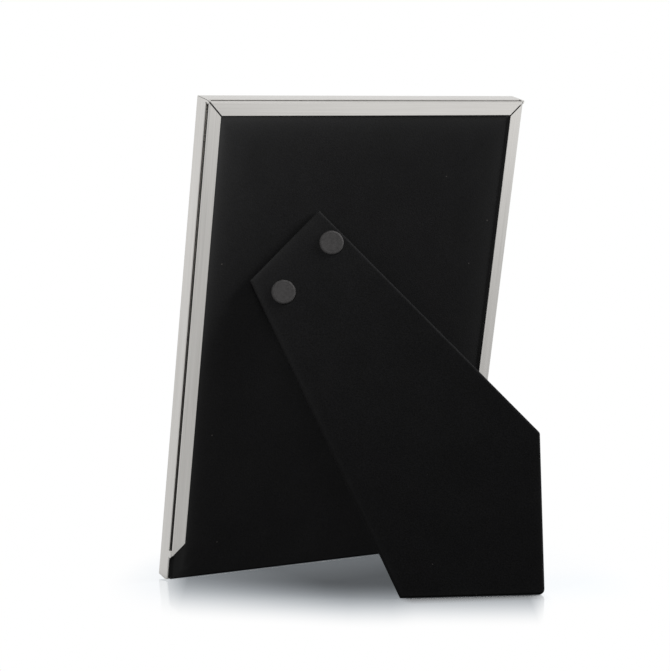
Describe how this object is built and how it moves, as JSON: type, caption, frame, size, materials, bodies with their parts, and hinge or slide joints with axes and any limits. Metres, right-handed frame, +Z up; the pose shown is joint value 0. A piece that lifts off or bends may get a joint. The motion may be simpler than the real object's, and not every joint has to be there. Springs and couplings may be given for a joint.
{
  "type": "easel back photo frame",
  "caption": "Slim metal photo frame with a velvet back that slides out downwards and a swinging skewed easel leg for upright or sideways standing.",
  "frame": {"origin": "on the surface that the frame stands on, below the middle of its outline", "axes": "+Z up, the picture faces -Y and the leg stands towards +Y, X across the frame"},
  "size_m": [0.134, 0.095, 0.1815],
  "materials": {
    "satin_steel": "satin, finely brushed along each rail",
    "clear_glass": "clear, polished",
    "insert_paper": "matt, plain",
    "filler_card": "grey-brown card, matt",
    "hardboard": "pressed fibre, matt",
    "black_velvet": "flocked, deep black",
    "lining_paper": "black, matt",
    "hinge_steel": "black, semi-matt",
    "rivet_steel": "dark grey, matt"
  },
  "bodies": {
    "frame": {"rail_top": "satin_steel", "rail_bottom": "satin_steel", "rail_left": "satin_steel", "rail_right": "satin_steel", "glass_pane": "clear_glass", "photo_insert": "insert_paper", "filler_board": "filler_card"},
    "easel_back": {"back_board": "hardboard", "back_cover": "black_velvet", "back_lining": "lining_paper", "back_rivet_lower": "rivet_steel", "back_rivet_upper": "rivet_steel", "hinge_fixed_leaf": "hinge_steel", "hinge_pin": "hinge_steel"},
    "leg": {"leg_board": "hardboard", "leg_cover": "black_velvet", "leg_lining": "lining_paper", "leg_rivet_lower": "rivet_steel", "leg_rivet_upper": "rivet_steel", "hinge_swing_leaf": "hinge_steel"}
  },
  "joints": [
    {"name": "back_slide", "type": "slide", "parent": "frame", "child": "easel_back", "axis": [0, -0.1987, -0.9801], "range_m": [0, 0.182]},
    {"name": "leg_hinge", "type": "hinge", "parent": "easel_back", "child": "leg", "pos_m": [0.0276, -0.01281, 0.12316], "axis": [-0.7071, 0.1405, 0.693], "range_deg": [0, 32]}
  ]
}
